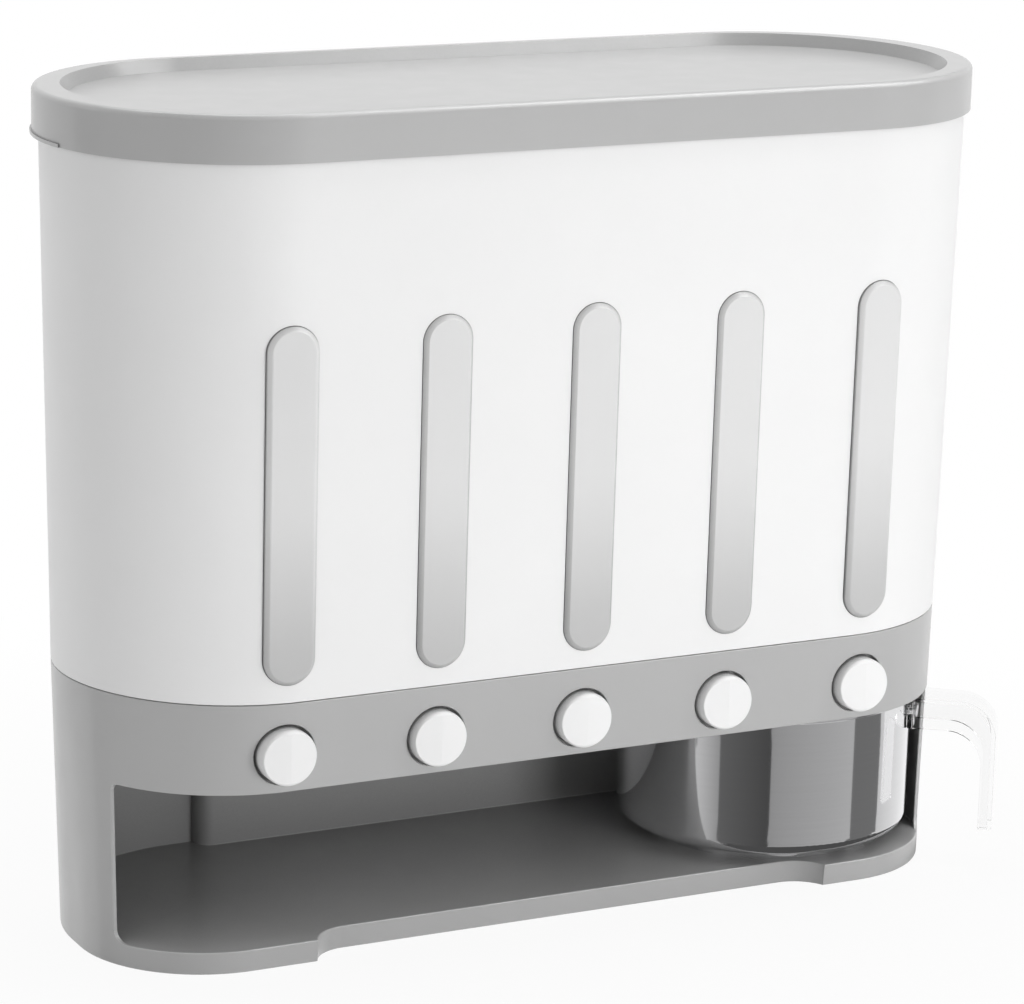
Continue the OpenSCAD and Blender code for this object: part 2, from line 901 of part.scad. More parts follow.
// One compartment's share of the bay's ceiling; the screws hold two neighbours at their joint
module chute_plate(i) {
  low = i == 1 ? -overall_l : wall_x(i - 1) + seat / 2;
  high = i == compartments ? overall_l : wall_x(i) - seat / 2;
  clear_half = stop_r + notch_gap;
  notch_back = boss_back + travel + notch_gap;
  color(grey)
    difference() {
      union() {
        translate([0, 0, chute_z])
          linear_extrude(chute_t)
            intersection() {
              base_outline(chute_z, base_wall + bite);
              span(low, -overall_d, high, overall_d);
            }
        translate([button_x(i), 0, 0])
          chute(rail_t, bay_top + over, chute_z + bite);
      }
      translate([button_x(i), 0, 0]) {
        chute(0, bay_top, chute_top + over);
        block([-clear_half, -overall_d, chute_z - over], [clear_half, notch_back, chute_top + over]);
        tenons(seat, chute_z - over, chute_top + over);
      }
      at_posts()
        translate([0, 0, chute_z - over])
          cylinder(h = chute_t + 2 * over, r = pass_r);
    }
}

// Guide: two rails with shelves for a gate, joined behind it by the wall that its spring rests on
module guide(i) {
  foot = chute_top + seat;
  back = spring_seat + web_t;
  side = guide_in + rail_t;
  color(grey)
    translate([button_x(i), 0, 0]) {
      for (turn = [0, 1])
        mirror([turn, 0, 0]) {
          block([guide_in, rail_front, foot], [side, back, gate_top]);
          block(
            [guide_in - shelf_in, rail_front, shelf_top - rail_t],
            [guide_in + bite, rail_rear, shelf_top]
          );
        }
      tenons(0, chute_z + seat, foot + bite);
      block([-side, spring_seat, foot], [side, back, button_z + web_drop]);
      translate([0, 0, button_z])
        bar_y(peg_r, spring_seat - peg_l, spring_seat + bite);
    }
}

// Buttons and gates
module button_cap() {
  rotate([-90, 0, 0])
    rotate_extrude() {
      depth = stop_y + stop_t - button_face;
      span(0, button_edge, button_r, depth);
      span(0, 0, button_r - button_edge, depth);
      translate([button_r - button_edge, button_edge])
        circle(button_edge);
      span(0, depth - stop_t, stop_r, depth);
    }
}

// Half spaces that slope the two halves of a button's face
module button_roof_cutter() {
  for (s = sides)
    rotate([0, 0, s * button_roof])
      translate([0, -button_r, 0])
        block(
          [min(0, 2 * s * button_r), -button_r, -2 * button_r],
          [max(0, 2 * s * button_r), button_r, 2 * button_r]
        );
}

module button(i) {
  hollow = button_face + button_skin;
  color(white)
    translate([button_x(i), 0, button_z])
      difference() {
        union() {
          difference() {
            translate([0, button_face, 0])
              button_cap();
            translate([0, button_face, 0])
              button_roof_cutter();
            bar_y(button_r - button_wall, hollow, stop_y + stop_t + over);
          }
          bar_y(stem_r + boss_wall, hollow - bite, boss_back);
        }
        bar_y(stem_r + screw_gap, hollow + button_wall, boss_back + over);
      }
}

module gate(i) {
  slot_y0 = -travel - outlet_d / 2;
  stem_tip = button_face + button_skin + button_wall + seat + bite;
  color(milky)
    translate([button_x(i), 0, 0])
      difference() {
        union() {
          block([-gate_w / 2, web_front, gate_foot], [gate_w / 2, gate_rear, gate_top]);
          for (y = [web_front, gate_rear - web_t])
            block([-web_half, y, button_z - web_drop], [web_half, y + web_t, gate_foot + bite]);
          translate([0, 0, button_z]) {
            bar_y(stem_r, stem_tip, web_front + bite);
            bar_y(peg_r, gate_rear - bite, gate_rear + peg_l);
          }
        }
        block(
          [-outlet_w / 2, slot_y0, gate_foot - over],
          [outlet_w / 2, slot_y0 + outlet_d, gate_top + over]
        );
      }
}

// Springs: one tube along a helix about Y
wire_sides = 6;
curl_rings = 8;
rings = curls * curl_rings;
coil_l = spring_l - wire_d - 2 * seat;
function coil_point(k) =
  let (turn = 360 * k / curl_rings)
    [spring_r * cos(turn), coil_l * k / rings, spring_r * sin(turn)];
function coil_ring(k) =
  let (
    turn = 360 * k / curl_rings,
    middle = coil_point(k),
    out = [cos(turn), 0, sin(turn)],
    rise = atan2(coil_l / rings, 2 * PI * spring_r / curl_rings),
    across = [sin(turn) * sin(rise), cos(rise), -cos(turn) * sin(rise)]
  )
    [for (j = [0 : wire_sides - 1])
      middle + wire_d / 2 * (cos(360 * j / wire_sides) * out + sin(360 * j / wire_sides) * across)];
function ring_face(k, j) =
  let (
    a = k * wire_sides + j,
    b = k * wire_sides + (j + 1) % wire_sides
  )
    [[a, b, b + wire_sides], [a, b + wire_sides, a + wire_sides]];
curl_gaps = [for (k = [0 : rings - curl_rings]) norm(coil_point(k + curl_rings) - coil_point(k))];
coil_gap = min(curl_gaps) - wire_d;
echo(least_gap_between_curls = coil_gap);

module coil() {
  points = [for (k = [0 : rings]) each coil_ring(k)];
  skin = [for (k = [0 : rings - 1], j = [0 : wire_sides - 1]) each ring_face(k, j)];
  first = [for (j = [1 : wire_sides - 2]) [0, j + 1, j]];
  last = [for (f = first) [for (v = [0, 2, 1]) f[v] + rings * wire_sides]];
  polyhedron(points, concat(skin, first, last));
}

module spring(i) {
  color(steel)
    translate([button_x(i), gate_rear + seat + wire_d / 2, button_z])
      coil();
}

// Fasteners
module screw(length) {
  translate([0, 0, -screw_head_h])
    cylinder(h = screw_head_h, r = screw_head_r);
  translate([0, 0, -bite])
    cylinder(h = length + bite, r = screw_r);
}

module deck_screws() {
  color(steel)
    at_lugs()
      translate([0, 0, lug_z])
        screw(lug_t + deck_thread);
}

module chute_screws() {
  color(steel)
    at_posts()
      translate([0, 0, chute_z])
        screw(chute_t + chute_thread);
}

// Cup
module at_cup() {
  translate([cup_x, cup_y, 0])
    children();
}

// Half section of the cup's solid, moved in by t
module cup_section(t) {
  r = cup_r - t;
  edge = cup_edge_r - t;
  foot = cup_edge_z + t;
  span(0, cup_foot_z + t, cup_foot_r - t, foot + edge);
  span(0, foot, r - edge, foot + edge);
  translate([r - edge, foot + edge])
    circle(edge);
  polygon([
    [0, foot + edge],
    [cup_out(foot + edge) - t, foot + edge],
    [cup_rim_r - t, cup_top],
    [0, cup_top]
  ]);
}

module rivet_holes() {
  for (s = sides)
    rotate(s * rivet_turn - handle_angle)
      translate([0, 0, rivet_z])
        rotate([0, 90, 0])
          cylinder(h = cup_rim_r + saddle_t + 2 * rivet_head_t, r = rivet_r + screw_gap);
}

module cup_body() {
  color(steel)
    at_cup()
      difference() {
        rotate_extrude()
          difference() {
            union() {
              cup_section(0);
              translate([cup_rim_r - cup_bead_r + seat, cup_top - cup_bead_r])
                circle(cup_bead_r);
            }
            cup_section(cup_wall);
            span(0, cup_top - bite, cup_rim_r - 2 * cup_bead_r, cup_top + over);
          }
        rivet_holes();
      }
}

module handle_profile(skin) {
  corner_span(cup_r, leg_z + skin, handle_out - skin, handle_top - skin, bend_r - skin);
}

module handle_strap() {
  rotate([90, 0, 0])
    difference() {
      linear_extrude(handle_w, center = true)
        handle_profile(0);
      linear_extrude(handle_w + 2 * over, center = true)
        corner_span(0, -over, handle_out - leg_t, arm_z, bend_in_r);
      linear_extrude(handle_w - 2 * handle_wall, center = true)
        handle_profile(handle_wall);
    }
}

module saddle() {
  inner_low = cup_out(arm_z) + seat;
  inner_high = cup_out(handle_top) + seat;
  rotate(-saddle_span / 2)
    rotate_extrude(angle = saddle_span)
      polygon([
        [inner_low, arm_z], [inner_low + saddle_t, arm_z],
        [inner_high + saddle_t, handle_top], [inner_high, handle_top]
      ]);
}

module cup_handle() {
  color(clear)
    at_cup()
      difference() {
        rotate(-handle_angle) {
          saddle();
          difference() {
            handle_strap();
            cylinder(h = overall_h, r = cup_rim_r + saddle_t / 2);
          }
        }
        rivet_holes();
      }
}

module cup_rivets() {
  inner = cup_out(rivet_z) - cup_wall - seat;
  outer = cup_out(rivet_z) + saddle_t + 2 * seat;
  color(steel)
    at_cup()
      for (s = sides)
        rotate(s * rivet_turn - handle_angle)
          translate([0, 0, rivet_z])
            rotate([0, 90, 0]) {
              translate([0, 0, inner - rivet_head_t])
                cylinder(h = rivet_head_t, r = rivet_head_r);
              translate([0, 0, inner - bite])
                cylinder(h = outer - inner + 2 * bite, r = rivet_r);
              translate([0, 0, outer])
                cylinder(h = rivet_head_t, r = rivet_head_r);
            }
}

lid();
lid_seal();
hopper_shell();
for (i = numbers)
  window(i);
for (i = walls)
  divider(i);
funnel_deck();
base_housing();
for (i = numbers)
  chute_plate(i);
for (i = numbers)
  guide(i);
for (i = numbers)
  button(i);
for (i = numbers)
  gate(i);
for (i = numbers)
  spring(i);
deck_screws();
chute_screws();
cup_body();
cup_handle();
cup_rivets();
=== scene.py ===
"""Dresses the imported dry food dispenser: finishes, broken edges, springs, seal, light and camera."""
import json
import math

import bpy
from mathutils import Matrix, Vector


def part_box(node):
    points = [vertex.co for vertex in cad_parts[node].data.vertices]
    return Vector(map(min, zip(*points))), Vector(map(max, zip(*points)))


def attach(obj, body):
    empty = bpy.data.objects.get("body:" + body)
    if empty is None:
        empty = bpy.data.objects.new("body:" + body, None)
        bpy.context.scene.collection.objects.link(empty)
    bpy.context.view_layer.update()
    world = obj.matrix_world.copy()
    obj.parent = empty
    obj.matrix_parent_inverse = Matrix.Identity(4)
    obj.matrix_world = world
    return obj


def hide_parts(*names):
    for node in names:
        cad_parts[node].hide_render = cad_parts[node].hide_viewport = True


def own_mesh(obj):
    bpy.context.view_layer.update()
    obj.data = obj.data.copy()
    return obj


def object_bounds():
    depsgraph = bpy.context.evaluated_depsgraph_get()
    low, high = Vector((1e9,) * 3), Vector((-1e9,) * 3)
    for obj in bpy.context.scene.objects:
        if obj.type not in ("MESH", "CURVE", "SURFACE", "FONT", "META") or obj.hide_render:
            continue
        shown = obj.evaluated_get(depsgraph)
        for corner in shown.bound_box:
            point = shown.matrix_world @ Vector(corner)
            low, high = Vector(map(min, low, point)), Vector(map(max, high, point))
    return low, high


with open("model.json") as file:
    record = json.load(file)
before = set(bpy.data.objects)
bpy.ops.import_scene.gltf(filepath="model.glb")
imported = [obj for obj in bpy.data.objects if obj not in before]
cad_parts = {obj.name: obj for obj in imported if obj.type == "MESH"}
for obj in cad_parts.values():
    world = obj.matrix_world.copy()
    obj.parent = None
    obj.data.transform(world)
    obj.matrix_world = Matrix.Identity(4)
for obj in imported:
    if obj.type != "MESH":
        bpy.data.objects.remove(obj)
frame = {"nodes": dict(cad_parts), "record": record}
CAD_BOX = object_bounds()
NODES = frame["nodes"]
RECORD = frame["record"]
MM = 0.001

# Photograph: 1024 x 1004 pixels, fitted as a pinhole camera
IMAGE_WIDTH = 1024
FOCAL_PIXELS = 4179.7
SENSOR = 36.0
AZIMUTH = math.radians(-26.72)
ELEVATION = math.radians(14.07)
ROLL = math.radians(1.23)
DISTANCE = 1.6678
TARGET = Vector((0.00185, 0.0, 0.15846))

# Smoothing and broken edges
WELD = 0.001 * MM
WELDS = {"base_housing": 0.05 * MM}
FLAT_ANGLE = math.radians(0.1)
SMOOTH_ANGLE = math.radians(28)
SMOOTH_ANGLES = {"lid": math.radians(50)}
CREASE_ANGLE = math.radians(8)
EDGE_ANGLE = math.radians(34)
EDGE_WIDTH = 0.35 * MM
WIDE_EDGES = {"base_housing": 0.4 * MM, "lid": 0.5 * MM}
FULL_EDGES = ("base_housing", "cup_handle")
EDGE_SEGMENTS = 2
SHARP_NODES = ("spring", "screws", "rivets", "lid_seal")

# Springs
WIRE = 0.9 * MM
CURLS = 7
CLOSED_TURNS = 0.75
POINTS_PER_TURN = 24
WIRE_SIDES = 4

# Seal ring
SEAL_LIP = 0.5 * MM
SEAL_STEPS = 48

# Frosted panes: painted shade, for the funnels behind them, darkens the lower part of their tint
# (from, to, share)
PANE_LOW_PAINTED_SHADE = (0.112, 0.195, 0.72)

# Surfaces: cells per metre of the slow drift in tint and of the clouds in roughness,
# depth of the grain, and the part of a noise value's range that counts
DRIFT_CELLS = 14.0
CLOUD_CELLS = 70.0
GRAIN_DEPTH = 0.1 * MM
NOISE_LOW = 0.3
NOISE_HIGH = 0.7

# Painted shade, where a surface is closed in: reach, openness from and to, share, whether by its own
# piece alone
HOLLOW_SAMPLES = 8
BAY_PAINTED_SHADE = (0.11, 0.45, 0.9, 0.5, True)
GAP_PAINTED_SHADE = (0.006, 0.2, 0.7, 0.3, False)
PANE_EDGE_PAINTED_SHADE = (0.005, 0.8, 1.0, 0.35, False)

# Floor: half its side, its paleness, and the distances over which it turns wholly white
FLOOR_HALF = 6.0
FLOOR_PALE = 0.82
SHADOW_FADE = (0.2, 0.45)

# Cards that only polished metal and gloss show: bearing and brightness of each edge of the ring
CARD_DISTANCE = 1.2
RING_HEIGHTS = (-0.9, 0.5)
RING_EDGES = (
    (-118, 0.15), (-94, 0.75), (-60, 0.33), (-60, 0.13), (-18, 0.07),
    (-18, 0.32), (48, 0.48), (48, 0.17), (74, 0.18), (74, 0.65), (116, 1.0),
)
DARK_CARD_STEPS = 48
HIGH_STEPS = 12


def math_node(tree, operation, a, b):
    """A Math node whose inputs are sockets or numbers; returns its output."""
    node = tree.nodes.new("ShaderNodeMath")
    node.operation = operation
    for socket, value in zip(node.inputs, (a, b)):
        if isinstance(value, bpy.types.NodeSocket):
            tree.links.new(value, socket)
        else:
            socket.default_value = value
    return node.outputs[0]


def noise(tree, where, scale, detail=2.0, roughness=0.5):
    """A noise pattern of about scale cells per metre; returns its value."""
    node = tree.nodes.new("ShaderNodeTexNoise")
    node.inputs["Scale"].default_value = scale
    node.inputs["Detail"].default_value = detail
    node.inputs["Roughness"].default_value = roughness
    tree.links.new(where, node.inputs["Vector"])
    return node.outputs["Fac"]


def spread(tree, value, low, high):
    """Maps the middle of a noise value's range to low and high."""
    node = tree.nodes.new("ShaderNodeMapRange")
    node.inputs["From Min"].default_value = NOISE_LOW
    node.inputs["From Max"].default_value = NOISE_HIGH
    node.inputs["To Min"].default_value = low
    node.inputs["To Max"].default_value = high
    tree.links.new(value, node.inputs["Value"])
    return node.outputs["Result"]


def place(tree, stretch):
    """Position on the piece in metres, scaled along each axis."""
    coordinates = tree.nodes.new("ShaderNodeTexCoord")
    mapping = tree.nodes.new("ShaderNodeMapping")
    mapping.inputs["Scale"].default_value = stretch
    tree.links.new(coordinates.outputs["Object"], mapping.inputs["Vector"])
    return mapping.outputs["Vector"]


def mix_tint(tree, shade, low, high):
    """Blends two colours by a value from 0 to 1."""
    node = tree.nodes.new("ShaderNodeMix")
    node.data_type = "RGBA"
    tree.links.new(shade, node.inputs["Factor"])
    node.inputs["A"].default_value = (*low, 1.0)
    node.inputs["B"].default_value = (*high, 1.0)
    return node.outputs["Result"]


def multiply_tint(tree, tint, value):
    """A tint times a value."""
    node = tree.nodes.new("ShaderNodeMix")
    node.data_type = "RGBA"
    node.blend_type = "MULTIPLY"
    node.inputs["Factor"].default_value = 1.0
    tree.links.new(tint, node.inputs["A"])
    tree.links.new(value, node.inputs["B"])
    return node.outputs["Result"]


def paint_fade_down(tree, tint, low, high, share):
    """Paints shade into a tint: darkens it to a share of itself from one height down to another."""
    where = tree.nodes.new("ShaderNodeTexCoord").outputs["Object"]
    height = tree.nodes.new("ShaderNodeSeparateXYZ")
    tree.links.new(where, height.inputs["Vector"])
    ramp = tree.nodes.new("ShaderNodeMapRange")
    ramp.interpolation_type = "SMOOTHSTEP"
    ramp.inputs["From Min"].default_value = low
    ramp.inputs["From Max"].default_value = high
    ramp.inputs["To Min"].default_value = share
    tree.links.new(height.outputs["Z"], ramp.inputs["Value"])
    return multiply_tint(tree, tint, ramp.outputs["Result"])


def paint_hollow_shade(tree, tint, reach, low, high, share, alone):
    """Paints shade into a tint: darkens it to a share of itself where the surface is closed in, by its
    own piece or by any.
    """
    hollow = tree.nodes.new("ShaderNodeAmbientOcclusion")
    hollow.samples = HOLLOW_SAMPLES
    hollow.only_local = alone
    hollow.inputs["Distance"].default_value = reach
    ramp = tree.nodes.new("ShaderNodeMapRange")
    ramp.inputs["From Min"].default_value = low
    ramp.inputs["From Max"].default_value = high
    ramp.inputs["To Min"].default_value = share
    tree.links.new(hollow.outputs["AO"], ramp.inputs["Value"])
    return multiply_tint(tree, tint, ramp.outputs["Result"])


def finish_of(
    name, tint, rough, vary=0.03, grain=1500.0, relief=0.05, stretch=(1, 1, 1),
    fade=None, hollow=None, **fixed
):
    """A moulded, cast or drawn surface: tint that drifts, roughness that drifts, a fine grain, and
    painted shade where fade or hollow is given.
    """
    material = bpy.data.materials.new(name)
    material.use_nodes = True
    tree = material.node_tree
    shader = tree.nodes["Principled BSDF"]
    for socket, value in fixed.items():
        shader.inputs[socket.replace("_", " ")].default_value = value
    where = place(tree, stretch)
    drift = spread(tree, noise(tree, where, DRIFT_CELLS, 3.0), 0.0, 1.0)
    low = [c * (1 - vary) for c in tint]
    high = [min(1.0, c * (1 + vary)) for c in tint]
    blend = mix_tint(tree, drift, low, high)
    # painted shade: darker towards the bottom with fade, darker where closed in with hollow
    if fade:
        blend = paint_fade_down(tree, blend, *fade)
    if hollow:
        blend = paint_hollow_shade(tree, blend, *hollow)
    tree.links.new(blend, shader.inputs["Base Color"])
    cloud = spread(tree, noise(tree, where, CLOUD_CELLS, 4.0), rough[0], rough[1])
    tree.links.new(cloud, shader.inputs["Roughness"])
    bump = tree.nodes.new("ShaderNodeBump")
    bump.inputs["Strength"].default_value = relief
    bump.inputs["Distance"].default_value = GRAIN_DEPTH
    tree.links.new(noise(tree, where, grain, 2.0), bump.inputs["Height"])
    tree.links.new(bump.outputs["Normal"], shader.inputs["Normal"])
    return material


FINISHES = {
    # painted shade: the grey darkens inside the bay and the other recesses of its own piece
    "grey_plastic": finish_of(
        "grey_moulding", (0.48, 0.48, 0.48), (0.42, 0.50), vary=0.02, hollow=BAY_PAINTED_SHADE,
        Coat_Weight=0.5, Coat_IOR=1.6, Coat_Roughness=0.2,
    ),
    # painted shade: the white darkens in narrow gaps and close under other parts, such as under the
    # lid's skirt
    "white_plastic": finish_of(
        "white_moulding", (0.90, 0.90, 0.90), (0.36, 0.44), vary=0.01, hollow=GAP_PAINTED_SHADE,
        Specular_IOR_Level=0.3,
    ),
    # painted shade: the pane darkens towards the bottom for the funnels behind it, and along its
    # bevelled edge
    "window_plastic": finish_of(
        "frosted_pane", (0.76, 0.76, 0.76), (0.34, 0.44), vary=0.015, relief=0.15, fade=PANE_LOW_PAINTED_SHADE,
        hollow=PANE_EDGE_PAINTED_SHADE,
    ),
    "gate_plastic": finish_of("natural_moulding", (0.80, 0.79, 0.75), (0.38, 0.5)),
    "seal_rubber": finish_of("soft_silicone", (0.78, 0.78, 0.76), (0.55, 0.7), relief=0.1),
    "fastener_steel": finish_of(
        "plated_steel", (0.60, 0.60, 0.61), (0.22, 0.36), grain=3000.0, Metallic=1.0,
    ),
    "spring_steel": finish_of(
        "bright_wire", (0.58, 0.58, 0.60), (0.2, 0.3), grain=4000.0, Metallic=1.0,
    ),
    "cup_steel": finish_of(
        "polished_steel", (0.80, 0.80, 0.81), (0.05, 0.08), vary=0.01, grain=60.0, relief=0.003,
        stretch=(1, 1, 60), Metallic=1.0,
    ),
    "clear_plastic": finish_of(
        "clear_moulding", (0.97, 0.97, 0.97), (0.01, 0.03), vary=0.005, grain=60.0, relief=0.002,
        Transmission_Weight=1.0, IOR=1.2,
    ),
}


def smoothing_group(limit, reach):
    """Node group that joins points within reach and shades a mesh smooth up to an angle."""
    group = bpy.data.node_groups.new("smooth_skin", "GeometryNodeTree")
    group.interface.new_socket("Geometry", in_out="INPUT", socket_type="NodeSocketGeometry")
    group.interface.new_socket("Geometry", in_out="OUTPUT", socket_type="NodeSocketGeometry")
    make = group.nodes.new
    source = make("NodeGroupInput")
    weld = make("GeometryNodeMergeByDistance")
    weld.inputs["Distance"].default_value = reach
    faces = make("GeometryNodeSetShadeSmooth")
    faces.domain = "FACE"
    faces.inputs["Shade Smooth"].default_value = True
    edges = make("GeometryNodeSetShadeSmooth")
    edges.domain = "EDGE"
    edges.inputs["Shade Smooth"].default_value = False
    angle = make("GeometryNodeInputMeshEdgeAngle")
    steep = make("FunctionNodeCompare")
    steep.operation = "GREATER_THAN"
    steep.inputs["B"].default_value = limit
    sink = make("NodeGroupOutput")
    join = group.links.new
    join(source.outputs["Geometry"], weld.inputs["Geometry"])
    join(weld.outputs["Geometry"], faces.inputs["Geometry"])
    join(faces.outputs["Geometry"], edges.inputs["Geometry"])
    join(angle.outputs["Unsigned Angle"], steep.inputs["A"])
    join(steep.outputs["Result"], edges.inputs["Selection"])
    join(edges.outputs["Geometry"], sink.inputs["Geometry"])
    return group


def dress_nodes():
    """Gives each CAD node its finish, smooth shading and broken edges."""
    for entry in RECORD["subparts"]:
        name = entry["node"]
        piece = NODES[name]
        piece.material_slots[0].material = FINISHES[entry["material_slot"]]
        skin = piece.modifiers.new("smooth_skin", "NODES")
        limit = SMOOTH_ANGLES.get(name, SMOOTH_ANGLE)
        if name.startswith("button"):
            limit = CREASE_ANGLE
        skin.node_group = smoothing_group(limit, WELDS.get(name, WELD))
        if not any(word in name for word in SHARP_NODES):
            flat = piece.modifiers.new("whole_faces", "DECIMATE")
            flat.decimate_type = "DISSOLVE"
            flat.angle_limit = FLAT_ANGLE
            edge = piece.modifiers.new("broken_edges", "BEVEL")
            edge.width = WIDE_EDGES.get(name, EDGE_WIDTH)
            edge.segments = EDGE_SEGMENTS
            edge.limit_method = "ANGLE"
            edge.angle_limit = max(EDGE_ANGLE, limit)
            edge.use_clamp_overlap = name not in FULL_EDGES
            edge.harden_normals = True
            weight = piece.modifiers.new("even_shading", "WEIGHTED_NORMAL")
            weight.keep_sharp = True


def link_piece(name, data):
    """A new object in the scene."""
    piece = bpy.data.objects.new(name, data)
    bpy.context.scene.collection.objects.link(piece)
    return piece


def coil_points(low, high):
    """Route of a compression spring along Y whose end curls close up."""
    middle_x = (low.x + high.x) / 2
    middle_z = (low.z + high.z) / 2
    radius = (high.x - low.x - WIRE) / 2
    start = low.y + WIRE / 2
    length = high.y - low.y - WIRE
    closed_rise = CLOSED_TURNS * WIRE
    open_rise = length - 2 * closed_rise
    steps = CURLS * POINTS_PER_TURN
    for step in range(steps + 1):
        turn = step / POINTS_PER_TURN
        if turn < CLOSED_TURNS:
            rise = turn * WIRE
        elif turn > CURLS - CLOSED_TURNS:
            rise = length - (CURLS - turn) * WIRE
        else:
            part = (turn - CLOSED_TURNS) / (CURLS - 2 * CLOSED_TURNS)
            rise = closed_rise + open_rise * part
        angle = 2 * math.pi * turn
        across, up = radius * math.cos(angle), radius * math.sin(angle)
        yield (middle_x + across, start + rise, middle_z + up)


def wind_spring(number):
    """A drawn wire in place of a spring's facets."""
    node = f"spring_{number}"
    low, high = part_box(node)
    points = list(coil_points(low, high))
    curve = bpy.data.curves.new(f"coil_{number}", "CURVE")
    curve.dimensions = "3D"
    curve.bevel_depth = WIRE / 2
    curve.bevel_resolution = WIRE_SIDES
    curve.use_fill_caps = True
    line = curve.splines.new("POLY")
    line.points.add(len(points) - 1)
    for point, place_at in zip(line.points, points):
        point.co = (*place_at, 1.0)
    line.use_smooth = True
    draft = link_piece(f"coil_{number}_draft", curve)
    bpy.context.view_layer.update()
    shaped = draft.evaluated_get(bpy.context.evaluated_depsgraph_get())
    mesh = bpy.data.meshes.new_from_object(shaped)
    bpy.data.objects.remove(draft)
    piece = link_piece(f"coil_{number}", mesh)
    mesh.materials.clear()
    mesh.materials.append(FINISHES["spring_steel"])
    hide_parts(node)
    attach(piece, "dispenser")
    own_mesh(piece)


def stadium(half_run, radius, steps):
    """Points round a stadium, counter-clockwise from the front of its right end."""
    for side, start in ((1, -90), (-1, 90)):
        for step in range(steps + 1):
            angle = math.radians(start + 180 * step / steps)
            yield (side * half_run + radius * math.cos(angle), radius * math.sin(angle))


def round_section(low, high, corner, steps=4):
    """A rectangle in radius and height with round corners, counter-clockwise."""
    corners = (
        (high[0] - corner, low[1] + corner, -90),
        (high[0] - corner, high[1] - corner, 0),
        (low[0] + corner, high[1] - corner, 90),
        (low[0] + corner, low[1] + corner, 180),
    )
    for x, z, start in corners:
        for step in range(steps + 1):
            angle = math.radians(start + 90 * step / steps)
            yield (x + corner * math.cos(angle), z + corner * math.sin(angle))


def mould_seal():
    """A round-edged ring in place of the seal's plain section."""
    low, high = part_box("lid_seal")
    half_run = high.x - high.y
    points = [vertex.co for vertex in NODES["lid_seal"].data.vertices]
    inner = min(abs(point.y) for point in points if abs(point.x) < half_run + MM)
    section = list(round_section((inner, low.z), (high.y, high.z), SEAL_LIP))
    rings = [list(stadium(half_run, radius, SEAL_STEPS)) for radius, _ in section]
    count = len(rings[0])
    verts = [(x, y, z) for (_, z), ring in zip(section, rings) for x, y in ring]
    faces = []
    for row in range(len(section)):
        after = (row + 1) % len(section)
        for step in range(count):
            side = (step + 1) % count
            faces.append((
                row * count + step, row * count + side,
                after * count + side, after * count + step,
            ))
    mesh = bpy.data.meshes.new("seal_ring")
    mesh.from_pydata(verts, [], faces)
    mesh.polygons.foreach_set("use_smooth", [True] * len(mesh.polygons))
    mesh.materials.append(FINISHES["seal_rubber"])
    piece = link_piece("seal_ring", mesh)
    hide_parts("lid_seal")
    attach(piece, "lid")


def set_camera():
    """The photograph's viewpoint, with its small roll."""
    back = Vector((
        math.sin(AZIMUTH) * math.cos(ELEVATION),
        -math.cos(AZIMUTH) * math.cos(ELEVATION),
        math.sin(ELEVATION),
    ))
    level = Vector((math.cos(AZIMUTH), math.sin(AZIMUTH), 0))
    upright = back.cross(level)
    right = math.cos(ROLL) * level + math.sin(ROLL) * upright
    up = math.cos(ROLL) * upright - math.sin(ROLL) * level
    data = bpy.data.cameras.new("photo_camera")
    data.sensor_fit = "HORIZONTAL"
    data.sensor_width = SENSOR
    data.lens = FOCAL_PIXELS / IMAGE_WIDTH * SENSOR
    camera = link_piece("photo_camera", data)
    turn = Matrix((right, up, back)).transposed().to_4x4()
    camera.matrix_world = Matrix.Translation(TARGET + DISTANCE * back) @ turn
    bpy.context.scene.camera = camera


def direct_view(tree):
    """1 where a camera, mirror or glass ray looks, 0 where light bounces softly."""
    path = tree.nodes.new("ShaderNodeLightPath").outputs
    seen = math_node(tree, "MAXIMUM", path["Is Camera Ray"], path["Is Glossy Ray"])
    return math_node(tree, "MAXIMUM", seen, path["Is Transmission Ray"])


def set_world(ambient):
    """White to look at, and a soft grey as light."""
    world = bpy.data.worlds.new("studio")
    world.use_nodes = True
    bpy.context.scene.world = world
    tree = world.node_tree
    background = tree.nodes["Background"]
    tint = mix_tint(tree, direct_view(tree), (ambient,) * 3, (1.0, 1.0, 1.0))
    tree.links.new(tint, background.inputs["Color"])


def near_object(tree, near, far):
    """1 within one distance of the object's middle, 0 past another."""
    where = tree.nodes.new("ShaderNodeTexCoord").outputs["Object"]
    span = tree.nodes.new("ShaderNodeVectorMath")
    span.operation = "LENGTH"
    tree.links.new(where, span.inputs[0])
    ramp = tree.nodes.new("ShaderNodeMapRange")
    ramp.interpolation_type = "SMOOTHSTEP"
    ramp.inputs["From Min"].default_value = far
    ramp.inputs["From Max"].default_value = near
    tree.links.new(span.outputs["Value"], ramp.inputs["Value"])
    return ramp.outputs["Result"]


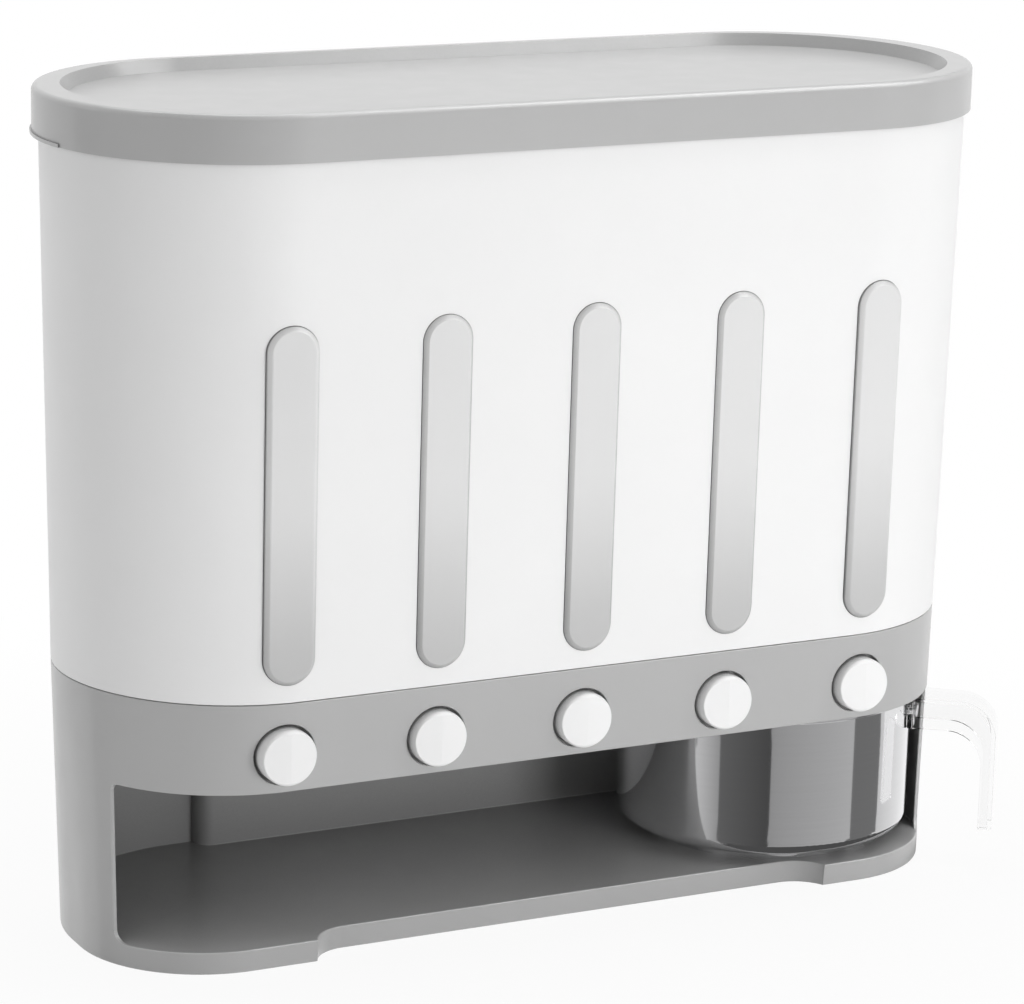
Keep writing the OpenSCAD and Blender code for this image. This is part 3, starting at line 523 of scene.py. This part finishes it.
def set_floor(shadow_share):
    """A pale floor that stays white in view and takes the object's shadow."""
    mesh = bpy.data.meshes.new("floor")
    level = CAD_BOX[0].z
    sides = ((-1, -1), (1, -1), (1, 1), (-1, 1))
    corners = [(x * FLOOR_HALF, y * FLOOR_HALF, level) for x, y in sides]
    mesh.from_pydata(corners, [], [(0, 1, 2, 3)])
    floor = link_piece("floor", mesh)
    material = bpy.data.materials.new("pale_floor")
    material.use_nodes = True
    tree = material.node_tree
    shader = tree.nodes["Principled BSDF"]
    shader.inputs["Base Color"].default_value = (FLOOR_PALE, FLOOR_PALE, FLOOR_PALE, 1.0)
    shader.inputs["Roughness"].default_value = 0.9
    shader.inputs["Specular IOR Level"].default_value = 0.0
    glow = tree.nodes.new("ShaderNodeEmission")
    blend = tree.nodes.new("ShaderNodeMixShader")
    share = math_node(tree, "MULTIPLY", near_object(tree, *SHADOW_FADE), shadow_share)
    white = math_node(tree, "SUBTRACT", 1.0, share)
    amount = math_node(tree, "MULTIPLY", direct_view(tree), white)
    tree.links.new(amount, blend.inputs["Fac"])
    tree.links.new(shader.outputs["BSDF"], blend.inputs[1])
    tree.links.new(glow.outputs["Emission"], blend.inputs[2])
    tree.links.new(blend.outputs["Shader"], tree.nodes["Material Output"].inputs["Surface"])
    mesh.materials.append(material)
    floor.visible_glossy = False


def direction(azimuth, elevation):
    """Unit vector to a bearing, in degrees: 0 is the front, and +90 is to the right."""
    turn, rise = math.radians(azimuth), math.radians(elevation)
    return Vector((
        math.sin(turn) * math.cos(rise),
        -math.cos(turn) * math.cos(rise),
        math.sin(rise),
    ))


def add_lamp(name, azimuth, elevation, distance, size, power, gloss=True):
    """A soft square lamp that faces the object's middle, with or without a highlight of its own."""
    data = bpy.data.lights.new(name, "AREA")
    data.size = size
    data.energy = power
    lamp = link_piece(name, data)
    lamp.visible_glossy = gloss
    lamp.location = TARGET + distance * direction(azimuth, elevation)
    lamp.rotation_euler = (-direction(azimuth, elevation)).to_track_quat("-Z", "Y").to_euler()


def add_card(name, verts, faces, glow):
    """A card that only polished metal and gloss show, with a brightness for each point."""
    mesh = bpy.data.meshes.new(name)
    mesh.from_pydata(verts, [], faces)
    mesh.attributes.new("glow", "FLOAT", "POINT").data.foreach_set("value", glow)
    material = bpy.data.materials.new(name)
    material.use_nodes = True
    tree = material.node_tree
    tree.nodes.remove(tree.nodes["Principled BSDF"])
    light = tree.nodes.new("ShaderNodeEmission")
    shade = tree.nodes.new("ShaderNodeAttribute")
    shade.attribute_name = "glow"
    tree.links.new(shade.outputs["Fac"], light.inputs["Color"])
    tree.links.new(light.outputs["Emission"], tree.nodes["Material Output"].inputs["Surface"])
    mesh.materials.append(material)
    card = link_piece(name, mesh)
    card.visible_camera = False
    card.visible_diffuse = False
    card.visible_transmission = False
    card.visible_shadow = False


def add_dark_reflection_card(radius, drop, bright):
    """A dark card under the cup, seen only in reflections: a painted dark reflection along the cup's
    lower edge.
    """
    low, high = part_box("cup_body")
    middle = (low + high) / 2
    ring = [math.radians(360 * step / DARK_CARD_STEPS) for step in range(DARK_CARD_STEPS)]
    verts = [
        (middle.x + radius * math.cos(turn), middle.y + radius * math.sin(turn), -drop)
        for turn in ring
    ]
    add_card("dark_reflection_card", verts, [tuple(range(DARK_CARD_STEPS))], [bright] * DARK_CARD_STEPS)


def add_high_card(bearings, rises, bright):
    """A curved card above the front right, for the highlight along rounded edges."""
    verts = []
    for step in range(HIGH_STEPS + 1):
        bearing = bearings[0] + (bearings[1] - bearings[0]) * step / HIGH_STEPS
        verts += [CARD_DISTANCE * direction(bearing, rise) for rise in rises]
    faces = [(2 * step, 2 * step + 1, 2 * step + 3, 2 * step + 2) for step in range(HIGH_STEPS)]
    add_card("high_card", verts, faces, [bright] * len(verts))


def add_reflector():
    """A ring of light and dark cards round the front."""
    verts, faces, glow = [], [], []
    for bearing, bright in RING_EDGES:
        side = CARD_DISTANCE * direction(bearing, 0)
        verts += [(side.x, side.y, height) for height in RING_HEIGHTS]
        glow += [bright, bright]
    for step in range(len(RING_EDGES) - 1):
        if RING_EDGES[step][0] < RING_EDGES[step + 1][0]:
            first = 2 * step
            faces.append((first, first + 1, first + 3, first + 2))
    add_card("reflector", verts, faces, glow)


dress_nodes()
for number in range(1, 6):
    wind_spring(number)
mould_seal()

set_camera()
set_world(0.42)
set_floor(0.08)
add_reflector()
# painted dark reflection along the cup's lower edge
add_dark_reflection_card(0.11, 0.02, 0.08)
add_high_card((30, 80), (40, 75), 6.0)
add_lamp("key_lamp", 42, 35, 2.6, 1.4, 6.2)
add_lamp("edge_lamp", 60, 60, 2.4, 0.4, 5.0)
add_lamp("low_lamp", 15, -3, 0.9, 0.3, 3.0, gloss=False)
add_lamp("rim_lamp", -110, 12, 2.4, 1.2, 4.6)
add_lamp("top_lamp", 170, 75, 2.2, 1.6, 22.0)

bpy.context.scene.view_settings.view_transform = "Standard"
